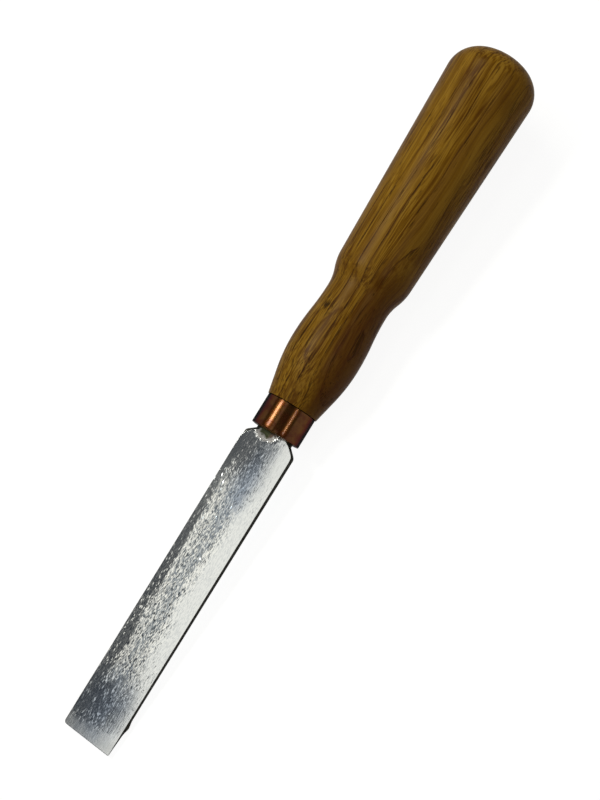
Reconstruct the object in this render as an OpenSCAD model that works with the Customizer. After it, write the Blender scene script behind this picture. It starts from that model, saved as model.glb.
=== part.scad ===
// Carving chisel: a flat forged blade whose tang is driven into a turned oak handle,
// with a copper ferrule round the wood where the tang goes in. Millimetres.
// The tool lies along X with its cutting edge at +X, the blade's flat face up (+Z)
// and its bevel underneath. The origin is below the middle of the tool, level with
// the lowest point of the handle.

/* [Blade] */
// Length of the blade from the ferrule's mouth to the cutting edge
blade_l = 115.5; // [60:0.5:200]
// Width of the blade at its shoulders
shoulder_w = 19.3; // [16:0.1:30]
// Width of the blade at the cutting edge
edge_w = 18.7; // [6:0.1:40]
// Thickness of the neck and of the blade at its shoulders
blade_t = 3.75; // [3:0.05:6]
// Thickness of the blade at the heel of the bevel
heel_t = 2.8; // [1:0.05:5]
// Length of the bevel along the tool
bevel_l = 10; // [4:0.1:20]
// Width of the neck between the ferrule and the shoulders
neck_w = 13.4; // [9:0.1:15]
// Length of the neck in front of the ferrule
neck_l = 0.9; // [0.3:0.1:6]
// Length over which the neck widens to the shoulders
shoulder_l = 2.8; // [1:0.1:8]
// Radius of the shoulders' outer corners, seen from above
shoulder_round = 1.5; // [0.3:0.1:2]

/* [Scoop in the face beside the ferrule] */
// Width of the scoop at the ferrule's mouth
scoop_w = 8.8; // [4:0.1:12]
// Depth of the scoop
scoop_depth = 1; // [0.3:0.1:2]
// Place of the scoop's middle across the blade
scoop_y = -1.9; // [-4:0.1:4]

/* [Tang] */
// Length of the tang from the ferrule's mouth
tang_l = 55; // [30:1:80]
// Width of the tang at the neck
tang_w = 8; // [5:0.1:10]
// Width of the tang at its end
tang_end_w = 4; // [2:0.1:8]
// Thickness of the tang at its end
tang_end_t = 2.4; // [1.5:0.1:5]
// Gap between the tang and its socket on every side
tang_fit = 0.1; // [0.02:0.01:0.3]

/* [Ferrule] */
// Outside diameter of the ferrule's tube
ferrule_d = 18; // [16:0.1:24]
// Wall of the tube
ferrule_wall = 1; // [0.5:0.1:2]
// Length of the ferrule
ferrule_l = 11; // [6:0.5:30]
// Chamfer round the outer edge of both ends
ferrule_chamfer = 0.3; // [0.1:0.05:0.8]
// Gap between the tube's bore and the handle's tenon
ferrule_fit = 0.05; // [0.02:0.01:0.2]

/* [Handle] */
// Length of the handle from the ferrule to the end of the butt
handle_l = 140; // [110:1:200]
// Step by which the wood stands out past the ferrule
nose_lip = 0.35; // [0.1:0.05:2]
// Length of the straight cone behind the ferrule
cone_l = 8.5; // [2:0.5:18]
// Diameter of the swell under the forefinger
swell_d = 25.3; // [22:0.1:32]
// Distance of the swell's crest from the ferrule
swell_at = 21.6; // [20:0.2:32]
// Diameter of the waist
waist_d = 22.8; // [18:0.1:28]
// Distance of the waist from the ferrule
waist_at = 42; // [34:0.2:48]
// Diameter of the collar at the front of the barrel
collar_d = 27.6; // [24:0.1:34]
// Distance of the collar from the ferrule
collar_at = 54; // [48:0.2:70]
// Diameter that the barrel's taper reaches at the butt, before the rounding
barrel_d = 33.5; // [28:0.1:40]
// Radius of the rounded edge of the butt
butt_round = 9.3; // [3:0.1:13]
// Radius of the domed end of the butt
butt_dome = 42; // [30:1:120]
// Chamfer on the front end of the tenon
tenon_chamfer = 0.5; // [0.1:0.1:1.5]

/* [Hidden] */
$fn = 96;
// Straight pieces in each curve of an outline
curve_steps = 16;
// Length by which a cutting shape runs past the face that it cuts
cut_past = 2;

// Places along the tool
edge_x = (handle_l + ferrule_l + blade_l) / 2;
mouth_x = edge_x - blade_l;
seat_x = mouth_x - ferrule_l;
neck_x = mouth_x + neck_l;
shoulder_x = neck_x + shoulder_l;
heel_x = edge_x - bevel_l;
tang_end_x = mouth_x - tang_l;

// Radii
ferrule_r = ferrule_d / 2;
bore_r = ferrule_r - ferrule_wall;
tenon_r = bore_r - ferrule_fit;
nose_r = ferrule_r + nose_lip;
swell_r = swell_d / 2;
waist_r = waist_d / 2;
collar_r = collar_d / 2;
scoop_r = (pow(scoop_w / 2, 2) + pow(scoop_depth, 2)) / (2 * scoop_depth);

// The cone and the crest's curve meet at the cone's own slope
cone_slope = 2 * (swell_r - nose_r) / (cone_l + swell_at);
crest_l = swell_at - cone_l;

// The butt's edge is an arc that touches the barrel's taper and the dome. Its centre
// lies on the taper's line moved in by its radius, and at "butt_reach" from the dome's.
barrel_slope = (barrel_d / 2 - collar_r) / (handle_l - collar_at);
barrel_angle = atan(barrel_slope);
inner_r = collar_r - collar_at * barrel_slope - butt_round / cos(barrel_angle);
dome_s = handle_l - butt_dome;
butt_reach = butt_dome - butt_round;
square_term = 1 + pow(barrel_slope, 2);
half_term = dome_s - barrel_slope * inner_r;
rest_term = pow(dome_s, 2) + pow(inner_r, 2) - pow(butt_reach, 2);
corner_s = (half_term + sqrt(pow(half_term, 2) - square_term * rest_term)) / square_term;
corner_r = inner_r + barrel_slope * corner_s;
dome_angle = atan2(corner_r, corner_s - dome_s);

// Height of the tool's axis: the handle's widest place touches z = 0
axis_z = max(corner_r + butt_round, swell_r, collar_r, ferrule_r, blade_t);

// Points on an arc round a centre, from one angle to another
function arc(centre, radius, from, to) = [
    for (i = [0:curve_steps])
        let (angle = from + (to - from) * i / curve_steps)
        centre + radius * [cos(angle), sin(angle)]
];

// Curve that leaves a cone at its slope and ends level after the given length
function crest(top, length, slope) = [
    for (i = [0:curve_steps])
        let (left = 1 - i / curve_steps)
        [top.x - length * left, top.y - slope * length / 2 * left * left]
];

// S-curve from a level start to an end with the given slope: two parabolas that
// meet halfway along
function ogee(start, end, slope) =
    let (
        length = end.x - start.x,
        rise = end.y - start.y,
        lead = slope * length,
        first = rise - lead / 4,
        last = rise - 3 * lead / 4
    )
    [
        for (i = [1:curve_steps])
            let (u = i / curve_steps, v = 1 - u)
            [
                start.x + length * u,
                u < 0.5 ? start.y + 2 * first * u * u : end.y - lead * v - 2 * last * v * v
            ]
    ];

// Corner of an outline, rounded with an arc that touches both of its sides
function rounded(before, corner, after, radius) =
    let (
        back = (before - corner) / norm(before - corner),
        ahead = (after - corner) / norm(after - corner),
        half_angle = acos(back * ahead) / 2,
        middle = (back + ahead) / norm(back + ahead),
        centre = corner + middle * radius / sin(half_angle),
        inward = atan2(-middle.y, -middle.x)
    )
    arc(centre, radius, inward + 90 - half_angle, inward - 90 + half_angle);

// Outline that is the same on both sides of the X axis, from its upper half
module both_sides(half) {
    count = len(half);
    polygon([
        for (i = [0:2 * count - 1])
            i < count ? half[i] : [half[2 * count - 1 - i].x, -half[2 * count - 1 - i].y]
    ]);
}

// Solid with one outline seen from above and another seen from the side
module plan_and_side(width, thickness) {
    intersection() {
        linear_extrude(thickness, center = true) children(0);
        rotate([90, 0, 0]) linear_extrude(width, center = true) children(1);
    }
}

// Round solid turned about the tool's axis from an outline of [radius, x] points
module turned(outline) {
    translate([0, 0, axis_z]) rotate([0, 90, 0]) rotate_extrude() polygon(outline);
}

// Socket for the tang: the tang's own taper with its clearance, open at the mouth
module socket() {
    back_x = tang_end_x - tang_fit;
    front_x = mouth_x + cut_past;
    root_w = tang_w / 2 + tang_fit;
    root_t = blade_t / 2 + tang_fit;
    plan = [[back_x, tang_end_w / 2 + tang_fit], [mouth_x, root_w], [front_x, root_w]];
    side = [[back_x, tang_end_t / 2 + tang_fit], [mouth_x, root_t], [front_x, root_t]];
    plan_and_side(2 * tang_w + 2 * tang_end_w, 2 * blade_t + 2 * tang_end_t) {
        both_sides(plan);
        both_sides(side);
    }
}

// One forging: the blade with its bevel, the shoulders, the neck and the tang
module blade() {
    face_z = blade_t / 2;
    neck_corner = [neck_x, neck_w / 2];
    shoulder_corner = [shoulder_x, shoulder_w / 2];
    edge_corner = [edge_x, edge_w / 2];
    plan = concat(
        [[tang_end_x, tang_end_w / 2], [mouth_x, tang_w / 2], [mouth_x, neck_w / 2], neck_corner],
        rounded(neck_corner, shoulder_corner, edge_corner, shoulder_round),
        [edge_corner]
    );
    side = [
        [tang_end_x, tang_end_t / 2],
        [mouth_x, face_z],
        [edge_x, face_z],
        [heel_x, face_z - heel_t],
        [shoulder_x, -face_z],
        [mouth_x, -face_z],
        [tang_end_x, -tang_end_t / 2]
    ];
    color("silver") translate([0, 0, axis_z]) difference() {
        plan_and_side(2 * max(shoulder_w, edge_w), 2 * max(blade_t, heel_t, tang_end_t)) {
            both_sides(plan);
            polygon(side);
        }
        translate([mouth_x, scoop_y, face_z + scoop_r - scoop_depth]) sphere(scoop_r);
    }
}

// Ring cut from copper tube, pressed on the handle's tenon up to the wood's step
module ferrule() {
    rim_r = ferrule_r - ferrule_chamfer;
    color("sienna") turned([
        [bore_r, seat_x],
        [rim_r, seat_x],
        [ferrule_r, seat_x + ferrule_chamfer],
        [ferrule_r, mouth_x - ferrule_chamfer],
        [rim_r, mouth_x],
        [bore_r, mouth_x]
    ]);
}

// Turned oak: tenon, cone, swell, waist, collar, tapered barrel and domed butt
module handle() {
    crest_point = [swell_at, swell_r];
    waist_point = [waist_at, waist_r];
    collar_point = [collar_at, collar_r];
    // Each point is [distance from the ferrule's back end, radius]
    profile = concat(
        [[-ferrule_l, 0], [-ferrule_l, tenon_r - tenon_chamfer]],
        [[tenon_chamfer - ferrule_l, tenon_r], [0, tenon_r], [0, nose_r]],
        crest(crest_point, crest_l, cone_slope),
        ogee(crest_point, waist_point, 0),
        ogee(waist_point, collar_point, barrel_slope),
        arc([corner_s, corner_r], butt_round, 90 + barrel_angle, dome_angle),
        arc([dome_s, 0], butt_dome, dome_angle, 0)
    );
    color("darkgoldenrod") difference() {
        turned([for (point = profile) [point.y, seat_x - point.x]]);
        translate([0, 0, axis_z]) socket();
    }
}

blade();
ferrule();
handle();
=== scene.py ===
import math

import bmesh
import bpy
from mathutils import Matrix, Vector, noise


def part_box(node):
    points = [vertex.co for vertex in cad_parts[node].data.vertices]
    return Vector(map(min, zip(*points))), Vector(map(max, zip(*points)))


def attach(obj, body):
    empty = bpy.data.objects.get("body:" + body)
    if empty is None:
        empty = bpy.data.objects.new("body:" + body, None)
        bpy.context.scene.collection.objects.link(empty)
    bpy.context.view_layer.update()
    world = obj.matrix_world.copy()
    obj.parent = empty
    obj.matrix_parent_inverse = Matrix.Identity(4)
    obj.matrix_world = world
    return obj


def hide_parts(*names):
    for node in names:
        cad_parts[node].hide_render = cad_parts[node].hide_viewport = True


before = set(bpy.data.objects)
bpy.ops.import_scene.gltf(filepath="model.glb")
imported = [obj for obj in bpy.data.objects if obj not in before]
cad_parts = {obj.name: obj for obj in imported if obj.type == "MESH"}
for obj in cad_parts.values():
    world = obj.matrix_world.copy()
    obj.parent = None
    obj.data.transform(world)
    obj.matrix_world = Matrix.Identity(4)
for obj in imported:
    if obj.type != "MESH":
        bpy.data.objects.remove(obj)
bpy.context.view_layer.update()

# Handle: one turning of wide-ringed oak, oiled to a satin. The tang is driven up a
# tapered socket in its front end, and the ferrule sits on the tenon there.
mm = 0.001
wood_low, wood_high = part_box("handle")
axis_z = (wood_low.z + wood_high.z) / 2
mouth_x = wood_high.x
butt_x = wood_low.x
seat_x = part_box("ferrule")[0].x
tang_fit = 0.1 * mm
socket_end_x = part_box("blade")[0].x - tang_fit
# Half of the width and half of the height of the socket, at both of its ends
socket_mouth = (4.1 * mm, 1.975 * mm)
socket_end = (2.1 * mm, 1.3 * mm)
tenon_r = 7.95 * mm
tenon_chamfer = 0.5 * mm
butt_zone = 12 * mm
butt_centre_r = 0.2 * mm
micrometre_digits = 6
micrometre = 0.001 * mm
turn_points = 128
longest_step = 4 * mm
turned_crease = math.radians(40)


def skin(name, rings, ends="capped"):
    """A mesh through rings of equal count: capped at both ends, at the first, or joined up."""
    shape = bmesh.new()
    loops = [[shape.verts.new(point) for point in ring] for ring in rings]
    count = len(loops[0])
    pairs = list(zip(loops, loops[1:]))
    if ends == "joined":
        pairs.append((loops[-1], loops[0]))
    for near, far in pairs:
        for i in range(count):
            j = (i + 1) % count
            shape.faces.new((near[i], near[j], far[j], far[i]))
    if ends in ("capped", "first"):
        shape.faces.new(loops[0])
    if ends == "capped":
        shape.faces.new(loops[-1])
    bmesh.ops.recalc_face_normals(shape, faces=shape.faces)
    data = bpy.data.meshes.new(name)
    shape.to_mesh(data)
    shape.free()
    piece = bpy.data.objects.new(name, data)
    bpy.context.scene.collection.objects.link(piece)
    return piece


def soften(piece, crease):
    """Smooth shading, with edges that turn by more than the crease kept crisp."""
    piece.data.shade_smooth()
    piece.data.set_sharp_from_angle(angle=crease)


def turned_ring(x, radius):
    """Points round the tool's axis at one place along it."""
    angles = [2 * math.pi * i / turn_points for i in range(turn_points)]
    return [(x, radius * math.cos(a), axis_z + radius * math.sin(a)) for a in angles]


def socket_ring(x, half_width, half_height):
    """The same count of points round the rectangle of the socket."""
    ring = []
    for i in range(turn_points):
        angle = 2 * math.pi * i / turn_points
        reach = 1 / max(abs(math.cos(angle)) / half_width, abs(math.sin(angle)) / half_height)
        ring.append((x, reach * math.cos(angle), axis_z + reach * math.sin(angle)))
    return ring


# The turned outline is the frame's own, from the ferrule's seat to the butt
wood_outline = {}
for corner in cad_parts["handle"].data.vertices:
    radius = math.hypot(corner.co.y, corner.co.z - axis_z)
    station = round(corner.co.x, micrometre_digits)
    outside = radius > tenon_r or station < butt_x + butt_zone
    if outside and station < seat_x + micrometre:
        wood_outline[station] = max(radius, wood_outline.get(station, 0.0))
wood_rings = [
    socket_ring(socket_end_x, *socket_end),
    socket_ring(mouth_x, *socket_mouth),
    turned_ring(mouth_x, tenon_r - tenon_chamfer),
    turned_ring(mouth_x - tenon_chamfer, tenon_r),
    turned_ring(seat_x, tenon_r),
]
stations = sorted(wood_outline, reverse=True)
for near, far in zip(stations, stations[1:]):
    steps = math.ceil((near - far) / longest_step)
    for i in range(steps):
        share = i / steps
        radius = wood_outline[near] * (1 - share) + wood_outline[far] * share
        wood_rings.append(turned_ring(near + (far - near) * share, radius))
wood_rings.append(turned_ring(butt_x, butt_centre_r))
handle = skin("handle_oak", wood_rings)
soften(handle, turned_crease)


def place_node(tree, kind, inputs=None, **settings):
    """A shader node. Each input is a plain value or the output that feeds it."""
    node = tree.nodes.new("ShaderNode" + kind)
    for name, value in settings.items():
        setattr(node, name, value)
    for name, value in (inputs or {}).items():
        if isinstance(value, bpy.types.NodeSocket):
            tree.links.new(value, node.inputs[name])
        else:
            node.inputs[name].default_value = value
    return node


def calculated(tree, operation, *values):
    """The result of one operation on numbers."""
    node = place_node(tree, "Math", dict(enumerate(values)), operation=operation)
    return node.outputs[0]


def vector_math(tree, operation, first, second):
    """The result of one operation on two vectors."""
    node = place_node(tree, "VectorMath", {0: first, 1: second}, operation=operation)
    return node.outputs["Value" if operation == "DOT_PRODUCT" else "Vector"]


def length_of(tree, vector):
    """A vector's length."""
    return place_node(tree, "VectorMath", {0: vector}, operation="LENGTH").outputs["Value"]


def scaled(tree, vector, x, y, z):
    """A vector with each of its parts multiplied."""
    return vector_math(tree, "MULTIPLY", vector, (x, y, z))


def cloudy(tree, place, along=1.0, across=1.0, detail=2.0, roughness=0.5):
    """Soft noise about one half, with so many clouds to a unit along X and across it."""
    stretched = scaled(tree, place, along, across, across)
    inputs = {"Vector": stretched, "Scale": 1.0, "Detail": detail, "Roughness": roughness}
    return place_node(tree, "TexNoise", inputs).outputs["Fac"]


def eased(tree, value, start, end, at_start=0.0, at_end=1.0):
    """The value's stretch from start to end, eased at both ends, as another stretch."""
    inputs = {
        "Value": value,
        "From Min": start,
        "From Max": end,
        "To Min": at_start,
        "To Max": at_end,
    }
    node = place_node(tree, "MapRange", inputs, interpolation_type="SMOOTHSTEP")
    return node.outputs[0]


def mixed(tree, factor, first, second):
    """Two colours mixed: the first where the factor is 0, the second where it is 1."""
    node = place_node(tree, "Mix", {0: factor, 6: first, 7: second}, data_type="RGBA")
    return node.outputs[2]


def laid_over(tree, tone, colour, cloud, start, full, share, where=1.0):
    """The tone with a colour over it: none where the cloud is at start, its share at full."""
    cover = calculated(tree, "MULTIPLY", eased(tree, cloud, start, full, 0.0, share), where)
    return mixed(tree, cover, tone, colour)


def bulge(tree, offset, along, across, reach, rise):
    """How far the rings bulge round a place: by the rise at it, by nothing past its reach."""
    distance = length_of(tree, scaled(tree, offset, along, across, across))
    return eased(tree, distance, 0.0, reach, rise, 0.0)


def new_material(name):
    """An empty material, its nodes, its Principled shader, and the place in millimetres."""
    material = bpy.data.materials.new(name)
    material.use_nodes = True
    tree = material.node_tree
    tree.nodes.clear()
    shader = place_node(tree, "BsdfPrincipled")
    output = place_node(tree, "OutputMaterial")
    tree.links.new(shader.outputs[0], output.inputs["Surface"])
    metres = place_node(tree, "TexCoord").outputs["Object"]
    return material, tree, shader, scaled(tree, metres, 1 / mm, 1 / mm, 1 / mm)


def feed(tree, value, shader, name):
    """What changes over the surface, linked to one of the shader's sockets."""
    tree.links.new(value, shader.inputs[name])


def set_all_over(shader, values):
    """What is the same all over the surface, set on the shader's own sockets."""
    for name, value in values.items():
        shader.inputs[name].default_value = value


# The figure runs through the wood's depth: yearly rings about a pith outside the blank,
# rows of open pores where each ring starts, streaks that come and go, a dark heart on the
# right of the swell that also paints in part of the shade there, and a pin knot. Lengths here
# are millimetres.
oak_late = (0.225, 0.108, 0.0051, 1)
oak_early = (0.165, 0.070, 0.0017, 1)
oak_gold = (0.350, 0.193, 0.0225, 1)
oak_brown = (0.074, 0.0225, 0.0003, 1)
# The red brown of the heart and of the painted shade on the flanks and at the front
oak_red_tone_and_shade = (0.068, 0.0160, 0.0002, 1)
oak_row = (0.050, 0.0160, 0.0003, 1)
oak_pore = (0.020, 0.0070, 0.0003, 1)
ring_pitch = 3.9
pith_depth = 150.0
first_ring = pith_depth + 16.9
crown_turn = math.radians(75)
grain_slope = 0.04
ring_sway = 3.2
ring_waver = 1.4
side_waver = 3.0
knot = (-27.3, -5.3, 10.6)
arch = (-30.0, 8.4, 8.5)
arch_stretch = (-66.0, -44.0)
heart_and_shade_depths = (pith_depth + 8.4, pith_depth + 13.4)
heart_and_shade_stretch = (-62.0, -32.0)
heart_and_shade_share = 0.70

oak, wood, oak_shader, wood_place = new_material("oak")
centred = vector_math(wood, "SUBTRACT", wood_place, (0, 0, axis_z / mm))
to_trunk = {"Vector": centred, "Rotation": (crown_turn, 0, 0), "Location": (0, 0, pith_depth)}
trunk = place_node(wood, "Mapping", to_trunk).outputs[0]
along_x, round_y, _ = place_node(wood, "SeparateXYZ", {0: trunk}).outputs
right_y = place_node(wood, "SeparateXYZ", {0: centred}).outputs["Y"]
from_pith = scaled(wood, trunk, 0, 1, 1)
sway = cloudy(wood, trunk, along=0.014, across=0.05, detail=1.0)
waver = cloudy(wood, trunk, along=0.035, across=0.22, detail=1.0)
to_knot = vector_math(wood, "SUBTRACT", centred, knot)
to_arch = vector_math(wood, "SUBTRACT", centred, arch)
round_knot = bulge(wood, to_knot, along=0.18, across=0.5, reach=1.6, rise=0.9)
round_arch = bulge(wood, to_arch, along=0.036, across=0.15, reach=1.4, rise=4.4)
round_arch = calculated(wood, "MULTIPLY", round_arch, eased(wood, along_x, *arch_stretch))
depth = calculated(wood, "MULTIPLY_ADD", sway, ring_sway, length_of(wood, from_pith))
depth = calculated(wood, "MULTIPLY_ADD", waver, ring_waver, depth)
depth = calculated(wood, "ADD", depth, calculated(wood, "ADD", round_knot, round_arch))
# The dark heart is partly the wood's own tone and partly painted shade on the swell's right
heart_and_shade = eased(wood, depth, *heart_and_shade_depths, 0.0, heart_and_shade_share)
heart_and_shade = calculated(wood, "MULTIPLY", heart_and_shade, eased(wood, along_x, *heart_and_shade_stretch))
depth = calculated(wood, "MULTIPLY_ADD", along_x, grain_slope, depth)
years = calculated(wood, "MULTIPLY_ADD", depth, 1 / ring_pitch, -first_ring / ring_pitch)

# A season runs from 0 to 1 through one ring, and its spring wood is the porous part
spring_fade = (0.04, 0.42)
next_spring = (0.93, 1.0)
season = calculated(wood, "FRACT", years)
spring = eased(wood, season, *spring_fade, 1.0, 0.0)
porous = calculated(wood, "MAXIMUM", spring, eased(wood, season, *next_spring))

# The row of pores at the start of a ring looks about as wide wherever the surface cuts it
flat_row = 0.01
steep_row = 0.17
row_gaps = (0.40, 0.60)
row_least = 0.05
ring_out = place_node(wood, "VectorMath", {0: from_pith}, operation="NORMALIZE").outputs[0]
outward = place_node(wood, "TexCoord").outputs["Normal"]
to_trunk = {"Vector": outward, "Rotation": (crown_turn, 0, 0)}
outward = place_node(wood, "Mapping", to_trunk).outputs[0]
flat_cut = vector_math(wood, "DOT_PRODUCT", ring_out, outward)
flat_cut = calculated(wood, "MINIMUM", calculated(wood, "MULTIPLY", flat_cut, flat_cut), 1.0)
steepness = calculated(wood, "SQRT", calculated(wood, "SUBTRACT", 1.0, flat_cut))
row_width = calculated(wood, "MULTIPLY_ADD", steepness, steep_row, flat_row)
row = eased(wood, season, 0.0, row_width, 1.0, 0.0)
round_y = calculated(wood, "MULTIPLY_ADD", waver, side_waver, round_y)
grain = place_node(wood, "CombineXYZ", {"X": along_x, "Y": round_y, "Z": depth}).outputs[0]
gaps = cloudy(wood, grain, along=0.045, across=0.6)
row = calculated(wood, "MULTIPLY", row, eased(wood, gaps, *row_gaps, row_least, 1.0))

# Single pores lie closest in the spring wood, and closer in the swell than in the barrel
late_level = 0.70
early_level = 0.57
swell_stretch = (-46.0, -26.0)
swell_level = 0.045
pore_rim = 0.06
pore_cloud = cloudy(wood, grain, along=0.12, across=2.6, detail=1.0)
pore_level = eased(wood, porous, 0.0, 1.0, late_level, early_level)
in_swell = eased(wood, along_x, *swell_stretch, 0.0, swell_level)
pore_level = calculated(wood, "SUBTRACT", pore_level, in_swell)
pores = eased(wood, calculated(wood, "SUBTRACT", pore_cloud, pore_level), 0.0, pore_rim)

# Fibres, lines and broad bands follow the grain. The first two are livelier in patches
# and on the left.
patch_run = (0.40, 0.62)
quiet_share = 0.4
right_quiet = (2.0, 10.0)
right_share = 0.7
fibres = cloudy(wood, grain, along=0.09, across=2.5, detail=1.0)
lines = cloudy(wood, grain, along=0.013, across=1.7, roughness=0.6)
bands = cloudy(wood, grain, along=0.007, across=0.45)
blotches = cloudy(wood, centred, along=0.05, across=0.10)
patches = cloudy(wood, centred, along=0.022, across=0.10, detail=1.0)
lively = eased(wood, patches, *patch_run, 1.0, quiet_share)
on_right = eased(wood, right_y, *right_quiet, 1.0, right_share)
lively = calculated(wood, "MULTIPLY", lively, on_right)

# The pin knot is a dark core, longer along the grain, with a ragged edge
knot_long = 0.65
knot_ragged = 1.6
knot_rim = (1.1, 2.3)
knot_share = 0.9
knot_edge = length_of(wood, scaled(wood, to_knot, knot_long, 1.0, 1.0))
knot_edge = calculated(wood, "MULTIPLY_ADD", fibres, knot_ragged, knot_edge)
knot_dark = eased(wood, knot_edge, *knot_rim, knot_share, 0.0)

# Painted shade darkens both flanks, where the light falls off, and in part the front
right_flank = (-2.0, 9.0)
right_flank_shade = 0.20
left_flank = (-8.0, -14.0)
left_flank_shade = 0.22
front_stretch = (-80.0, -45.0)
front_shade_and_tone_share = 0.12
flank_shade = eased(wood, right_y, *right_flank, 0.0, right_flank_shade)
flank_shade = calculated(wood, "MAXIMUM", flank_shade, eased(wood, right_y, *left_flank, 0.0, left_flank_shade))
front_shade_and_tone = eased(wood, along_x, *front_stretch, 0.0, front_shade_and_tone_share)

# The tone goes on from the broad to the fine: rings, bands, streaks, rows, blotches,
# the heart and the painted shade of the flanks and front, single pores, and the knot.
spring_share = 0.6
pore_share = 0.6
oil_rough = 0.37
pore_rough = 0.60
fibre_relief = -0.25
pore_relief = -1.0
grain_relief = 0.05 * mm
tone = mixed(wood, calculated(wood, "MULTIPLY", porous, spring_share), oak_late, oak_early)
tone = laid_over(wood, tone, oak_gold, bands, start=0.50, full=0.66, share=0.42)
tone = laid_over(wood, tone, oak_brown, bands, start=0.48, full=0.33, share=0.58)
for streaks, dark, pale in ((fibres, 0.44, 0.44), (lines, 0.60, 0.54)):
    tone = laid_over(
        wood, tone, oak_brown, streaks, start=0.51, full=0.615, share=dark, where=lively
    )
    tone = laid_over(
        wood, tone, oak_gold, streaks, start=0.49, full=0.385, share=pale, where=lively
    )
tone = mixed(wood, row, tone, oak_row)
tone = laid_over(wood, tone, oak_brown, blotches, start=0.50, full=0.70, share=0.38)
# Painted shade: the flanks and the front go red brown, and so does the heart, in part
tone = mixed(wood, calculated(wood, "MAXIMUM", heart_and_shade, flank_shade), tone, oak_red_tone_and_shade)
tone = mixed(wood, front_shade_and_tone, tone, oak_red_tone_and_shade)
tone = mixed(wood, calculated(wood, "MULTIPLY", pores, pore_share), tone, oak_pore)
tone = mixed(wood, knot_dark, tone, oak_pore)
feed(wood, tone, oak_shader, "Base Color")
feed(wood, eased(wood, pores, 0.0, 1.0, oil_rough, pore_rough), oak_shader, "Roughness")
open_grain = calculated(wood, "MULTIPLY", pores, pore_relief)
open_grain = calculated(wood, "MULTIPLY_ADD", fibres, fibre_relief, open_grain)
grain_bump = {"Height": open_grain, "Strength": 0.5, "Distance": grain_relief}
feed(wood, place_node(wood, "Bump", grain_bump).outputs[0], oak_shader, "Normal")
# A low index with a raised tint gives the oil its soft sheen face on, and no pale flanks
set_all_over(oak_shader, {"IOR": 1.07, "Specular Tint": (5.6, 5.6, 5.6, 1)})
handle.data.materials.append(oak)
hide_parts("handle")
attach(handle, "root")

# Ferrule: a ring sawn from copper tube, its edges eased, pressed on the tenon. It has
# darkened with age and keeps the fine rings of its last polish in the lathe.
tube_low, tube_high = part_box("ferrule")
tube_r = (tube_high.y - tube_low.y) / 2
bore_r = 8.0 * mm
rim_round = 0.35 * mm
rim_steps = 5
tube_steps = 10


def eased_rim(x, inward):
    """The rounded outer edge of one end, from the end's face to the tube's side."""
    points = []
    for i in range(rim_steps + 1):
        angle = math.pi / 2 * i / rim_steps
        radius = tube_r - rim_round + rim_round * math.sin(angle)
        points.append((x + inward * rim_round * (1 - math.cos(angle)), radius))
    return points


back_rim = eased_rim(tube_low.x, 1)
front_rim = eased_rim(tube_high.x, -1)
side_start = back_rim[-1][0]
side_step = (front_rim[-1][0] - side_start) / tube_steps
tube_outline = [
    (tube_low.x, bore_r),
    *back_rim,
    *[(side_start + side_step * i, tube_r) for i in range(1, tube_steps)],
    *reversed(front_rim),
    (tube_high.x, bore_r),
]
ferrule = skin("ferrule_copper", [turned_ring(x, r) for x, r in tube_outline], ends="joined")
soften(ferrule, turned_crease)

# Mottling that the copper and the forge scale share: spots of a given length and width,
# as a mask with a given softness, and as a height for their relief.
mottling = bpy.data.node_groups.new("Metal mottling", "ShaderNodeTree")
mottling.interface.new_socket("Place", in_out="INPUT", socket_type="NodeSocketVector")
for name, value in (("Length", 1.0), ("Width", 1.0), ("Level", 0.5), ("Softness", 0.1)):
    socket = mottling.interface.new_socket(name, in_out="INPUT", socket_type="NodeSocketFloat")
    socket.default_value = value
mottling.interface.new_socket("Mask", in_out="OUTPUT", socket_type="NodeSocketFloat")
mottling.interface.new_socket("Height", in_out="OUTPUT", socket_type="NodeSocketFloat")
given = mottling.nodes.new("NodeGroupInput").outputs
spot_sides = {"X": given["Length"], "Y": given["Width"], "Z": given["Width"]}
spot_size = place_node(mottling, "CombineXYZ", spot_sides).outputs[0]
spot_place = vector_math(mottling, "DIVIDE", given["Place"], spot_size)
spots = cloudy(mottling, spot_place, detail=4.0, roughness=0.6)
from_level = calculated(mottling, "SUBTRACT", given["Level"], given["Softness"])
to_level = calculated(mottling, "ADD", given["Level"], given["Softness"])
result = mottling.nodes.new("NodeGroupOutput").inputs
mottling.links.new(eased(mottling, spots, from_level, to_level), result["Mask"])
mottling.links.new(spots, result["Height"])
# Nearly all heights lie between these two
spot_heights = (0.3, 0.7)


def mottled(tree, place, **values):
    """The mask and the height of the shared mottling, with one material's own values."""
    node = place_node(tree, "Group", {"Place": place, **values}, node_tree=mottling)
    return node.outputs["Mask"], node.outputs["Height"]


copper_red = (0.080, 0.030, 0.0040, 1)
copper_brown = (0.060, 0.0140, 0.0012, 1)
bright_rough = 0.20
dull_rough = 0.29
polish_relief = 0.012 * mm
copper, tube, copper_shader, tube_place = new_material("copper")
tarnish, tarnish_height = mottled(
    tube, tube_place, Length=2.2, Width=3.4, Level=0.5, Softness=0.14
)
polish = cloudy(tube, tube_place, along=3.2, across=0.10, roughness=0.7)
feed(tube, mixed(tube, tarnish, copper_red, copper_brown), copper_shader, "Base Color")
tarnish_rough = eased(tube, tarnish_height, *spot_heights, bright_rough, dull_rough)
feed(tube, tarnish_rough, copper_shader, "Roughness")
polish_bump = {"Height": polish, "Strength": 0.4, "Distance": polish_relief}
feed(tube, place_node(tube, "Bump", polish_bump).outputs[0], copper_shader, "Normal")
set_all_over(copper_shader, {
    "Metallic": 1.0,
    "Specular Tint": (0.10, 0.04, 0.02, 1),
    "Coat Weight": 0.030,
    "Coat Roughness": 0.15,
    "Coat IOR": 4.0,
})
ferrule.data.materials.append(copper)
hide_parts("ferrule")
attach(ferrule, "root")

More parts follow.
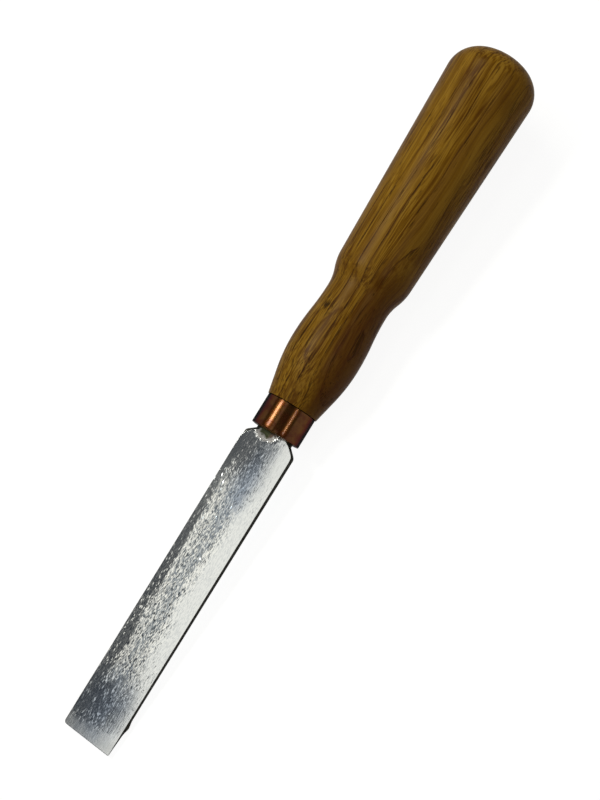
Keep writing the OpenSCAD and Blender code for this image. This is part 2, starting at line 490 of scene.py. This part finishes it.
# Blade: one forging of tool steel with a tapered tang, a short neck and chamfered
# shoulders. Its face is ground but keeps the hammer's flecks, its sides keep a dark
# skin, and the bevel underneath is honed to the cutting edge.
steel_low, steel_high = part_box("blade")
edge_x = steel_high.x
face_z = steel_high.z
blade_t = 3.75 * mm
heel_t = 2.8 * mm
edge_t = 0.08 * mm
bevel_l = 10 * mm
neck_half = 6.7 * mm
neck_l = 0.9 * mm
shoulder_half = 9.65 * mm
shoulder_l = 2.8 * mm
left_shoulder_l = 2.2 * mm
shoulder_blend = 0.9 * mm
shoulder_chamfer = 1.5 * mm
edge_half = 9.35 * mm
# Half of the width and half of the thickness of the tang, at both of its ends
tang_root = (4.0 * mm, 1.875 * mm)
tang_tip = (2.0 * mm, 1.2 * mm)
neck_x = mouth_x + neck_l
shoulder_x = neck_x + shoulder_l
heel_x = edge_x - bevel_l
forged_crease = math.radians(30)


def lesser(first, second, blend):
    """The smaller of two lengths, rounded off where they cross."""
    share = min(max(0.5 + (second - first) / (2 * blend), 0.0), 1.0)
    return second + (first - second) * share - blend * share * (1 - share)


def smooth_step(value, low, high):
    """How far the value is from low to high, from 0 to 1, eased at both ends."""
    share = min(max((value - low) / (high - low), 0.0), 1.0)
    return share * share * (3 - 2 * share)


# Seen from above, the blade narrows a little to the edge, whose corners are worn. The
# face is narrower than the back at the shoulders, by a wide rim on the left.
left_corner = 1.2 * mm
right_corner = 0.45 * mm
face_root_half = 4.6 * mm
face_root_slope = 1.65
left_rim = 1.6 * mm
right_rim = 0.3 * mm
rim_full_x = shoulder_x - 1.5 * mm
rim_end_x = shoulder_x + 2.5 * mm


def side_half(x, corner):
    """Half of the blade's width past the shoulders, with the worn corner at the edge."""
    share = (x - shoulder_x) / (edge_x - shoulder_x)
    past = max(x - (edge_x - corner), 0.0)
    worn = corner - math.sqrt(max(corner**2 - past**2, 0.0))
    return shoulder_half + (edge_half - shoulder_half) * share - worn


def back_half(x, corner, length):
    """Half of the underside's width: the neck, a shoulder of the given length, the blade."""
    widening = neck_half + max(x - neck_x, 0.0) * (shoulder_half - neck_half) / length
    return lesser(widening, side_half(x, corner), shoulder_blend)


def face_half(x, corner, length, rim):
    """Half of the face's width. It starts narrower than the back, for the chamfer."""
    widening = face_root_half + (x - mouth_x) * face_root_slope
    rim *= 1 - smooth_step(x, rim_full_x, rim_end_x)
    narrowed = back_half(x, corner, length) - rim
    return min(lesser(widening, side_half(x, corner), shoulder_blend), narrowed)


# The face has a soft facet along its left, which starts and ends gently, a hammered scoop
# beside the ferrule, and an eased cutting edge.
facet_slant = 0.037
facet_at_x = shoulder_x + 24 * mm
facet_at_y = -7.4 * mm
facet_blend = 0.5 * mm
facet_wander = 0.7 * mm
facet_wave = 11 * mm
facet_seed = 8.3
first_tilt = math.tan(math.radians(2.6))
first_tilt_run = (24 * mm, 36 * mm)
more_tilt = math.tan(math.radians(0.9))
more_tilt_run = (44 * mm, 66 * mm)
tilt_end_run = (edge_x - 28 * mm, edge_x - 12 * mm)
scoop_half = 4.5 * mm
scoop_reach = 3.65 * mm
scoop_depth = 0.38 * mm
scoop_y = -2.1 * mm
scoop_run = (0.1, 1.05)
hammer_depth = 0.06 * mm
hammer_pitch = 1.4 * mm
hammer_stray = 0.14
hammer_run = (0.8, 1.2)
hammer_seed = 3.7
edge_ease = 0.3 * mm
edge_dip = 0.05 * mm


def face_height(x, y, top):
    """The face's height at one place: its flat top, less the facet, the edge and the scoop."""
    facet_y = facet_at_y + facet_slant * (x - facet_at_x)
    facet_y += facet_wander * noise.noise((x / facet_wave, 0.0, facet_seed))
    past_facet = (math.hypot(facet_y - y, facet_blend) + facet_y - y) / 2
    tilt = first_tilt * smooth_step(x, *first_tilt_run)
    tilt += more_tilt * smooth_step(x, *more_tilt_run)
    tilt *= 1 - smooth_step(x, *tilt_end_run)
    top -= past_facet * tilt
    top -= edge_dip * max((x - edge_x) / edge_ease + 1, 0.0) ** 2
    blow = noise.noise((x / hammer_pitch, y / hammer_pitch, hammer_seed))
    off_scoop = math.hypot((x - mouth_x) / scoop_reach, (y - scoop_y) / scoop_half)
    off_scoop += hammer_stray * blow
    bowl = scoop_depth * (1 - smooth_step(off_scoop, *scoop_run))
    hammered = 1 - smooth_step(off_scoop, *hammer_run)
    return top - bowl - hammer_depth * hammered * (1 + blow)


# The face's points lie close together at its two edges, so that it shades flat up to them
face_steps = 96
edge_share = 0.003
inner_shares = [i / face_steps for i in range(1, face_steps)]
face_shares = [0.0, edge_share, *inner_shares, 1 - edge_share, 1.0]
back_steps = 12
arris_steps = 4
face_arris = 0.12 * mm
back_arris = 0.25 * mm
arris_most = 0.4
chamfer_most = 0.5
edge_lag = 0.45 * mm
lag_run = 4 * mm


def arris(y, z, radius, quarter):
    """A rounded edge about its centre, through one quarter turn. Quarter 0 starts on top."""
    angles = [math.pi / 2 * (quarter + i / arris_steps) for i in range(arris_steps + 1)]
    return [(y + radius * math.sin(a), z + radius * math.cos(a)) for a in angles]


def section(x, face, back, top, low):
    """A ring round the blade, from its left: face, right side, underside, left side."""
    left, right = face
    back_left, back_right = back
    thick = top - low
    ease = min(face_arris, arris_most * thick)
    low_ease = min(back_arris, arris_most * thick)
    chamfer_z = top - min(shoulder_chamfer, chamfer_most * thick)
    ring = []
    for share in face_shares:
        y = ease - left + (left + right - 2 * ease) * share
        ring.append((y, face_height(x, y, top)))
    right_z = face_height(x, right - ease, top)
    ring += arris(right - ease, right_z - ease, ease, 0)[1:]
    ring.append((back_right, chamfer_z))
    ring += arris(back_right - low_ease, low + low_ease, low_ease, 1)
    width = back_left + back_right - 2 * low_ease
    ring += [(back_right - low_ease - width * i / back_steps, low) for i in range(1, back_steps)]
    ring += arris(low_ease - back_left, low + low_ease, low_ease, 2)
    ring.append((-back_left, chamfer_z))
    left_z = face_height(x, ease - left, top)
    ring += arris(ease - left, left_z - ease, ease, 3)[:-1]
    near_edge = min(max((x - edge_x) / lag_run + 1, 0.0), 1.0)
    lag = edge_lag * near_edge / (2 * edge_half)
    return [(x - lag * (edge_half - y), y, z) for y, z in ring]


def spaced(start, end, step):
    """Places from the start to just before the end, no further apart than the step."""
    count = math.ceil((end - start) / step)
    return [start + (end - start) * i / count for i in range(count)]


# Rings lie closest at the shoulders, at the bevel and at the worn corners of the edge
scoop_back_x = mouth_x - 5 * mm
body_x = shoulder_x + 3 * mm
body_end_x = heel_x - 5 * mm
corner_x = edge_x - left_corner
heel_burr = 0.4 * mm
burr_run = 1.6 * mm
tang_stations = [
    *spaced(steel_low.x, scoop_back_x, step=8 * mm),
    *spaced(scoop_back_x, mouth_x, step=0.5 * mm),
    mouth_x,
]
blade_stations = [
    *spaced(mouth_x, body_x, step=0.15 * mm),
    *spaced(body_x, body_end_x, step=1.0 * mm),
    *spaced(body_end_x, corner_x, step=0.25 * mm),
    *spaced(corner_x, edge_x, step=0.06 * mm),
    edge_x,
]
steel_rings = []
for x in tang_stations:
    share = (x - steel_low.x) / (mouth_x - steel_low.x)
    half, rise = [tip + (root - tip) * share for tip, root in zip(tang_tip, tang_root)]
    steel_rings.append(section(x, (half, half), (half, half), axis_z + rise, axis_z - rise))
for x in blade_stations:
    if x < heel_x:
        thick = blade_t + (heel_t - blade_t) * max(x - shoulder_x, 0.0) / (heel_x - shoulder_x)
    else:
        thick = heel_t + (edge_t - heel_t) * (x - heel_x) / bevel_l
    face_left = face_half(x, left_corner, left_shoulder_l, left_rim)
    face_right = face_half(x, right_corner, shoulder_l, right_rim)
    burr = heel_burr * math.exp(-(((x - heel_x) / burr_run) ** 2))
    back_left = back_half(x, left_corner, left_shoulder_l)
    back_right = back_half(x, right_corner, shoulder_l) + burr
    face = (face_left, face_right)
    back = (back_left, back_right)
    steel_rings.append(section(x, face, back, face_z, face_z - thick))
blade = skin("blade_steel", steel_rings)
soften(blade, forged_crease)

# The ground steel is flecked, each fleck a hammered flake that leans its own way: most lie
# nearly flat, and a few lean far. Lengths here are millimetres.
steel_bright = (0.70, 0.71, 0.70, 1)
steel_dark = (0.22, 0.25, 0.285, 1)
steel_plain = (0.55, 0.57, 0.585, 1)
# The blue of the painted shade by the shoulders and the tip
blue_painted_shade = (0.25, 0.295, 0.37, 1)
fleck_length = 0.85
fleck_width = 0.20
fleck_tilt = 0.13
ragged_pitch = 0.9
ragged_share = 0.35
steel, ground, steel_shader, steel_place = new_material("ground_steel")
steel_x, steel_y, _ = place_node(ground, "SeparateXYZ", {0: steel_place}).outputs
ragged_inputs = {"Vector": steel_place, "Scale": ragged_pitch, "Detail": 2.0}
ragged = place_node(ground, "TexNoise", ragged_inputs).outputs["Color"]
ragged = scaled(ground, ragged, ragged_share, ragged_share, 0)
fleck_place = scaled(ground, steel_place, 1 / fleck_length, 1 / fleck_width, 0)
fleck_place = vector_math(ground, "ADD", fleck_place, ragged)
fleck_inputs = {"Vector": fleck_place, "Scale": 1.0}
flecks = place_node(ground, "TexVoronoi", fleck_inputs, voronoi_dimensions="2D")
fleck = flecks.outputs["Color"]
lean = vector_math(ground, "SUBTRACT", fleck, (0.5, 0.5, 0.5))
lean = scaled(ground, lean, 2, 2, 0)
lean_square = vector_math(ground, "MULTIPLY", lean, lean)
lean_fourth = vector_math(ground, "MULTIPLY", lean_square, lean_square)
lean = vector_math(ground, "MULTIPLY", lean, lean_fourth)

# The flecks fade at the shoulders, at the tip and its honed edge, along the right, and on
# the facet, with edges that drift.
root_run = (34.0, 50.0)
root_share = 0.18
tip_run = (114.0, 123.0)
tip_share = 0.38
hone_run = (edge_x / mm - 3.5, edge_x / mm + 1.5)
hone_share = 0.3
right_run = (3.5, 8.5)
right_flecks = 0.2
facet_run = (-9.4, -8.2)
facet_root_run = (66.0, 92.0)
facet_shares = (0.5, 0.12)
drift_along = 14.0
drift_across = 5.0
drift_at_hone = 6.0
drift = cloudy(ground, steel_place, along=0.12, across=0.25)
drifted_x = calculated(ground, "MULTIPLY_ADD", drift, drift_along, steel_x)
drifted_y = calculated(ground, "MULTIPLY_ADD", drift, drift_across, steel_y)
hone_x = calculated(ground, "MULTIPLY_ADD", drift, drift_at_hone, steel_x)
before_hone = eased(ground, hone_x, *hone_run, 1.0, hone_share)
off_facet = calculated(ground, "MULTIPLY_ADD", steel_x, -facet_slant, steel_y)
on_facet = eased(ground, off_facet, *facet_run, 1.0, 0.0)
facet_share = eased(ground, steel_x, *facet_root_run, *facet_shares)
on_facet = calculated(ground, "MULTIPLY", on_facet, facet_share)
flecked = eased(ground, drifted_x, *root_run, root_share, 1.0)
for fade in (
    eased(ground, drifted_x, *tip_run, 1.0, tip_share),
    before_hone,
    eased(ground, drifted_y, *right_run, 1.0, right_flecks),
    calculated(ground, "SUBTRACT", 1.0, on_facet),
):
    flecked = calculated(ground, "MULTIPLY", flecked, fade)

# The flecks are darker along a line near the middle. Two bluish patches of painted shade
# lie over them, one by the shoulders and one by the tip, in place of the dark room mirrored
# there.
dark_line_y = 1.5
dark_line_run = (0.3, 3.5)
dark_line_shades = (0.28, 0.06)
fleck_run = (0.1, 0.6)
root_painted_shade = ((36.0, 0.9, 0), 0.060, 0.19, 0.85)
tip_painted_shade = ((122.0, -1.0, 0), 0.070, 0.095, 0.92)
painted_shade_ragged = 0.8
painted_shade_run = (0.5, 1.7)
off_dark_line = calculated(ground, "ABSOLUTE", calculated(ground, "SUBTRACT", drifted_y, dark_line_y))
shade = eased(ground, off_dark_line, *dark_line_run, *dark_line_shades)
fleck_level = calculated(ground, "SUBTRACT", fleck, shade)
fleck_tone = mixed(ground, eased(ground, fleck_level, *fleck_run), steel_dark, steel_bright)
steel_tone = mixed(ground, flecked, steel_plain, fleck_tone)
# Painted shade: two bluish patches darken the steel where it would mirror the dark room
for middle, along, across, share in (root_painted_shade, tip_painted_shade):
    to_painted_shade = vector_math(ground, "SUBTRACT", steel_place, middle)
    off_painted_shade = length_of(ground, scaled(ground, to_painted_shade, along, across, 0))
    off_painted_shade = calculated(ground, "MULTIPLY_ADD", drift, painted_shade_ragged, off_painted_shade)
    painted_shade = eased(ground, off_painted_shade, *painted_shade_run, share, 0.0)
    steel_tone = mixed(ground, painted_shade, steel_tone, blue_painted_shade)

# The scoop's hollow is painted with reflections, dark olive and brown on its right, with a paler
# chipped rim
olive_painted_reflection = (0.052, 0.060, 0.027, 1)
brown_painted_reflection = (0.105, 0.070, 0.055, 1)
scoop_pale = (0.265, 0.255, 0.255, 1)
scoop_ragged = 0.9
brown_reflection_run = (0.1, 0.4)
rim_run = (1.6, 1.4)
rim_share = 0.9
hollow_run = (1.0, 1.2)
hollow_share = 0.95
to_scoop = vector_math(ground, "SUBTRACT", steel_place, (mouth_x / mm, scoop_y / mm, 0))
to_scoop = scaled(ground, to_scoop, mm / scoop_reach, mm / scoop_half, 0)
blows = cloudy(ground, steel_place, along=0.9, across=0.9, detail=3.0, roughness=0.6)
off_scoop = calculated(ground, "MULTIPLY_ADD", blows, scoop_ragged, length_of(ground, to_scoop))
across_scoop = place_node(ground, "SeparateXYZ", {0: to_scoop}).outputs["Y"]
# Painted reflection: the hollow's olive and brown stand in for the dark room and the ferrule
brown_reflection_share = eased(ground, across_scoop, *brown_reflection_run)
hollow_painted_reflection = mixed(ground, brown_reflection_share, olive_painted_reflection, brown_painted_reflection)
scoop_rim = eased(ground, off_scoop, *rim_run)
rim_cover = calculated(ground, "MULTIPLY", scoop_rim, rim_share)
steel_tone = mixed(ground, rim_cover, steel_tone, scoop_pale)
hollow = eased(ground, off_scoop, *hollow_run, hollow_share, 0.0)
steel_tone = mixed(ground, hollow, steel_tone, hollow_painted_reflection)
feed(ground, steel_tone, steel_shader, "Base Color")

# The honed edge and the flecks are rougher than the ground steel, and the scoop is dull
ground_rough = 0.07
hone_rough = 0.18
fleck_rough = 0.10
scoop_rough = 0.42
scoop_dull_run = (1.2, 1.5)
scratch_relief = 0.005
chip_relief = 0.04
steel_rough = eased(ground, before_hone, hone_share, 1.0, hone_rough, ground_rough)
steel_rough = calculated(ground, "MULTIPLY_ADD", flecked, fleck_rough, steel_rough)
scoop_dull = eased(ground, off_scoop, *scoop_dull_run, scoop_rough, 0.0)
steel_rough = calculated(ground, "ADD", steel_rough, scoop_dull)
feed(ground, steel_rough, steel_shader, "Roughness")
lean_share = calculated(ground, "MULTIPLY", flecked, fleck_tilt)
lean_inputs = {0: lean, "Scale": lean_share}
lean = place_node(ground, "VectorMath", lean_inputs, operation="SCALE").outputs[0]
flake = vector_math(ground, "ADD", place_node(ground, "TexCoord").outputs["Normal"], lean)
to_world = {"vector_type": "NORMAL", "convert_from": "OBJECT", "convert_to": "WORLD"}
flake = place_node(ground, "VectorTransform", {0: flake}, **to_world).outputs[0]
scratches = cloudy(ground, steel_place, along=0.06, across=2.4, detail=3.0, roughness=0.7)
chips = cloudy(ground, steel_place, along=1.6, across=1.6, roughness=0.6)
chip_share = calculated(ground, "MULTIPLY", scoop_rim, chip_relief)
chips = calculated(ground, "MULTIPLY", chips, chip_share)
relief = calculated(ground, "MULTIPLY_ADD", scratches, scratch_relief, chips)
steel_bump = {"Height": relief, "Normal": flake, "Strength": 1.0, "Distance": 1.0 * mm}
feed(ground, place_node(ground, "Bump", steel_bump).outputs[0], steel_shader, "Normal")
set_all_over(steel_shader, {"Metallic": 1.0})

# The sides, the neck and the tang keep the dark crust of the forge
scale_dark = (0.028, 0.028, 0.024, 1)
scale_grey = (0.085, 0.083, 0.072, 1)
pit_rough = 0.62
crust_rough = 0.42
crust_relief = 0.04 * mm
scale, forged, scale_shader, scale_place = new_material("forge_scale")
crust, crust_height = mottled(
    forged, scale_place, Length=1.4, Width=0.8, Level=0.52, Softness=0.16
)
feed(forged, mixed(forged, crust, scale_dark, scale_grey), scale_shader, "Base Color")
scale_rough = eased(forged, crust_height, *spot_heights, pit_rough, crust_rough)
feed(forged, scale_rough, scale_shader, "Roughness")
crust_bump = {"Height": crust_height, "Strength": 0.5, "Distance": crust_relief}
feed(forged, place_node(forged, "Bump", crust_bump).outputs[0], scale_shader, "Normal")
set_all_over(scale_shader, {"IOR": 1.03})

# In front of the ferrule's mouth, the face and the underside are ground. The mesh's faces
# run round one ring after another, so the place in the ring tells the side.
blade.data.materials.append(steel)
blade.data.materials.append(scale)
ring_count = len(steel_rings[0])
face_count = len(face_shares) - 1
back_start = face_count + 2 * arris_steps + 2
for polygon in blade.data.polygons:
    place = polygon.index % ring_count
    ground_side = place < face_count or back_start <= place < back_start + back_steps
    polygon.material_index = 0 if ground_side and polygon.center.x > mouth_x else 1
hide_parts("blade")
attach(blade, "root")

# Floor: a plain pale studio floor that turns up into a wall all round. The tool's weight
# is just in front of its swell, so it lies on the swell and on the heel of the bevel.
heel_z = face_z - heel_t
floor_rise = max((heel_z - axis_z + radius) / (heel_x - x) for x, radius in wood_outline.items())
floor_slope = math.atan(floor_rise)
floor_gap = 0.05 * mm
floor_middle_r = 0.02
floor_near_r = 0.4
floor_r = 2.2
wall_r = 1.0
wall_top = 1.7
wall_steps = 10
floor_points = 96
floor_outline = [(floor_middle_r, 0.0), (floor_near_r, 0.0), (floor_r, 0.0)]
for i in range(1, wall_steps + 1):
    angle = math.pi / 2 * i / wall_steps
    floor_outline.append((floor_r + wall_r * math.sin(angle), wall_r * (1 - math.cos(angle))))
floor_outline.append((floor_r + wall_r, wall_top))
floor_angles = [2 * math.pi * i / floor_points for i in range(floor_points)]
floor_rings = []
for radius, height in floor_outline:
    ring = [(radius * math.cos(a), radius * math.sin(a), height) for a in floor_angles]
    floor_rings.append(ring)
floor = skin("floor", floor_rings, ends="first")
floor.data.shade_smooth()
under_heel = Matrix.Translation((heel_x, 0, heel_z - floor_gap))
floor.matrix_world = under_heel @ Matrix.Rotation(-floor_slope, 4, "Y")

# The floor looks white in the picture and in the metal, and throws less light on the tool
floor_grey = (0.45, 0.45, 0.45, 1)
floor_pale = (0.9, 0.9, 0.9, 1)
white_strength = 1.2
white_share = 0.75
paper = bpy.data.materials.new("pale_floor")
paper.use_nodes = True
pale_floor = paper.node_tree
pale_floor.nodes.clear()
path = place_node(pale_floor, "LightPath").outputs
seen = calculated(pale_floor, "MAXIMUM", path["Is Camera Ray"], path["Is Glossy Ray"])
seen = calculated(pale_floor, "MAXIMUM", seen, path["Is Transmission Ray"])
floor_colour = mixed(pale_floor, seen, floor_grey, floor_pale)
floor_shade = place_node(pale_floor, "BsdfDiffuse", {"Color": floor_colour}).outputs[0]
white_inputs = {"Color": (1, 1, 1, 1), "Strength": white_strength}
floor_white = place_node(pale_floor, "Emission", white_inputs).outputs[0]
white = calculated(pale_floor, "MULTIPLY", seen, white_share)
floor_mix = place_node(pale_floor, "MixShader", {0: white, 1: floor_shade, 2: floor_white})
place_node(pale_floor, "OutputMaterial", {"Surface": floor_mix.outputs[0]})
floor.data.materials.append(paper)

# Light: a wide soft strip on the left and a thin one on the right, each with a brighter
# length over the ferrule, a dim strip and a sheet of lit cloth over the blade, and a dim
# room round them.
lamp_distance = 0.5
left_turn = math.radians(-33)
right_turn = math.radians(42.2)
blade_turn = math.radians(12)
left_colour = (1.0, 0.985, 0.88)
right_colour = (1.0, 0.94, 0.80)
cloth_colour = (1.0, 0.98, 0.905)


def soft_strip(name, turn, colour, x, length, width, brightness):
    """A soft strip along the tool, turned about its axis from straight up towards +Y."""
    lamp = bpy.data.lights.new(name, "AREA")
    lamp.shape = "RECTANGLE"
    lamp.size = length
    lamp.size_y = width
    lamp.energy = brightness * math.pi * length * width
    lamp.color = colour
    holder = bpy.data.objects.new(name, lamp)
    bpy.context.scene.collection.objects.link(holder)
    above = Matrix.Translation((x, 0, axis_z)) @ Matrix.Rotation(-turn, 4, "X")
    holder.matrix_world = above @ Matrix.Translation((0, 0, lamp_distance))
    holder.visible_camera = False


for name, turn, colour, x, length, width, brightness in (
    ("left_strip", left_turn, left_colour, -0.23, 0.35, 0.085, 9.6),
    ("left_front_strip", left_turn, left_colour, -0.02, 0.07, 0.085, 31.0),
    ("right_strip", right_turn, right_colour, -0.23, 0.35, 0.012, 17.0),
    ("right_front_strip", right_turn, right_colour, -0.02, 0.07, 0.010, 64.0),
    ("blade_strip", blade_turn, cloth_colour, 0.15, 0.27, 0.14, 1.0),
):
    soft_strip(name, turn, colour, x, length, width, brightness)

sheet_height = 0.4
sheet_z = face_z + sheet_height
sheet_right = -35 * mm
sheet_edge = -110 * mm
middle_reach = 32 * mm
middle_start = (35 * mm, 61 * mm)
middle_end = (170 * mm, 200 * mm)
tail_back = 8 * mm
tail_start = (190 * mm, 214 * mm)
far_reach = 21 * mm
far_start = (238 * mm, 252 * mm)
sheet_start = -0.15
sheet_end = 0.40
sheet_steps = 110
sheet_strength = 1.36


def sheet_left(x):
    """The sheet's left edge, which lies further out along its middle and at its far end."""
    middle = smooth_step(x, *middle_start) - smooth_step(x, *middle_end)
    tail = smooth_step(x, *tail_start)
    far = smooth_step(x, *far_start)
    return sheet_edge - middle_reach * middle + tail_back * tail - far_reach * far


sheet_points = []
for i in range(sheet_steps + 1):
    x = sheet_start + (sheet_end - sheet_start) * i / sheet_steps
    sheet_points += [(x, sheet_left(x), sheet_z), (x, sheet_right, sheet_z)]
sheet_faces = [(i, i + 1, i + 3, i + 2) for i in range(0, 2 * sheet_steps, 2)]
sheet_data = bpy.data.meshes.new("lit_sheet")
sheet_data.from_pydata(sheet_points, [], sheet_faces)
sheet = bpy.data.objects.new("lit_sheet", sheet_data)
bpy.context.scene.collection.objects.link(sheet)
sheet.visible_camera = False
lit = bpy.data.materials.new("lit_sheet")
lit.use_nodes = True
lit.node_tree.nodes.clear()
glow_inputs = {"Color": (*cloth_colour, 1), "Strength": sheet_strength}
glow = place_node(lit.node_tree, "Emission", glow_inputs).outputs[0]
place_node(lit.node_tree, "OutputMaterial", {"Surface": glow})
sheet_data.materials.append(lit)

room_colour = (0.92, 0.96, 1.0, 1)
room_strength = 0.125
room = bpy.data.worlds.new("room")
bpy.context.scene.world = room
room.use_nodes = True
room_light = room.node_tree.nodes["Background"]
room_light.inputs["Color"].default_value = room_colour
room_light.inputs["Strength"].default_value = room_strength

# Camera: above the tool, a little to its right and towards its tip, as the photograph
# was taken, with the tool running down the picture to the left.
picture_height = 800
lens_pixels = 1034
sensor = 36.0
nearest_seen = 0.01
view_distance = 0.346
view_tilt = math.radians(5.2)
view_lean = math.radians(16.0)
picture_slant = math.radians(58.39)
aim_x = 3.4 * mm
aim_aside = 1.04 * mm
towards_camera = Vector((
    math.sin(view_tilt),
    math.cos(view_tilt) * math.sin(view_lean),
    math.cos(view_tilt) * math.cos(view_lean),
))
along = (Vector((1, 0, 0)) - towards_camera * towards_camera.x).normalized()
across = towards_camera.cross(along)
picture_right = across * math.sin(picture_slant) - along * math.cos(picture_slant)
picture_up = -along * math.sin(picture_slant) - across * math.cos(picture_slant)
aim = Vector((aim_x, 0, axis_z)) + across * aim_aside
camera_data = bpy.data.cameras.new("camera")
camera_data.sensor_width = sensor
camera_data.lens = lens_pixels * sensor / picture_height
camera_data.clip_start = nearest_seen
camera = bpy.data.objects.new("camera", camera_data)
bpy.context.scene.collection.objects.link(camera)
camera_turn = Matrix((picture_right, picture_up, towards_camera)).transposed().to_4x4()
camera.matrix_world = Matrix.Translation(aim + towards_camera * view_distance) @ camera_turn
bpy.context.scene.camera = camera
bpy.context.scene.view_settings.view_transform = "Standard"
